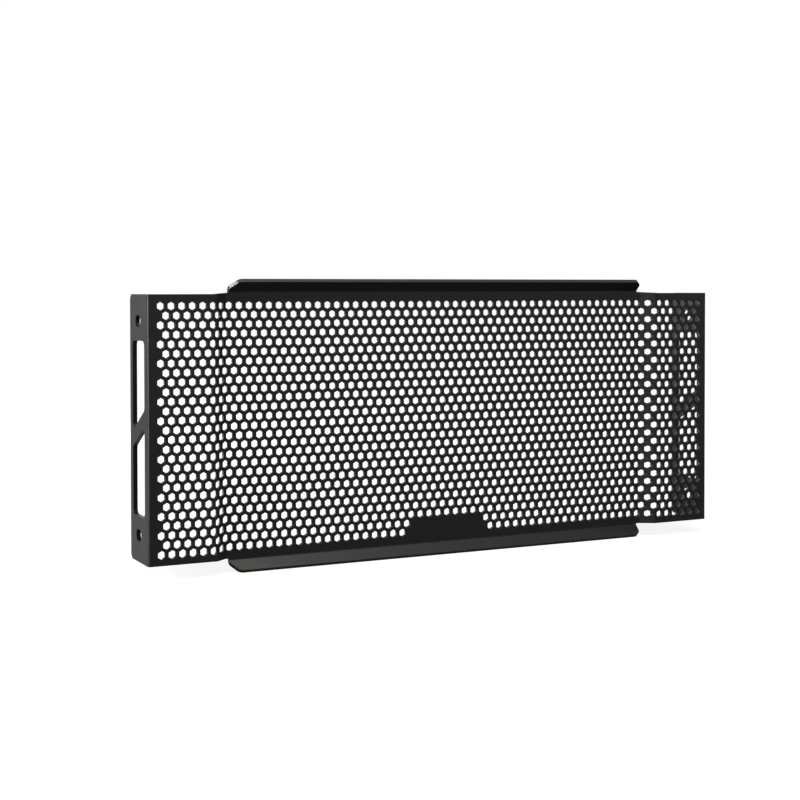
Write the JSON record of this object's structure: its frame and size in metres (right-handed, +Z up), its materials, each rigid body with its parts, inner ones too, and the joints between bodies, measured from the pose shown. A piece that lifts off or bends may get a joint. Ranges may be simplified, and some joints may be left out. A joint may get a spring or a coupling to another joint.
{
  "type": "motorcycle radiator guard",
  "caption": "Folded sheet guard with a hexagonal mesh, stepped wings, side flanges with windows and slots, and flared upper and lower edges.",
  "frame": {"origin": "midway between the four mounting slots, on the middle plane of the guard", "axes": "+Z up, +X across the motorcycle to the right as seen from the front wheel, +Y back towards the radiator"},
  "size_m": [0.374, 0.0331, 0.1644],
  "materials": {
    "black_powder_coat": "satin black powder coat with a fine texture"
  },
  "bodies": {
    "root": {"guard": "black_powder_coat"}
  },
  "joints": []
}
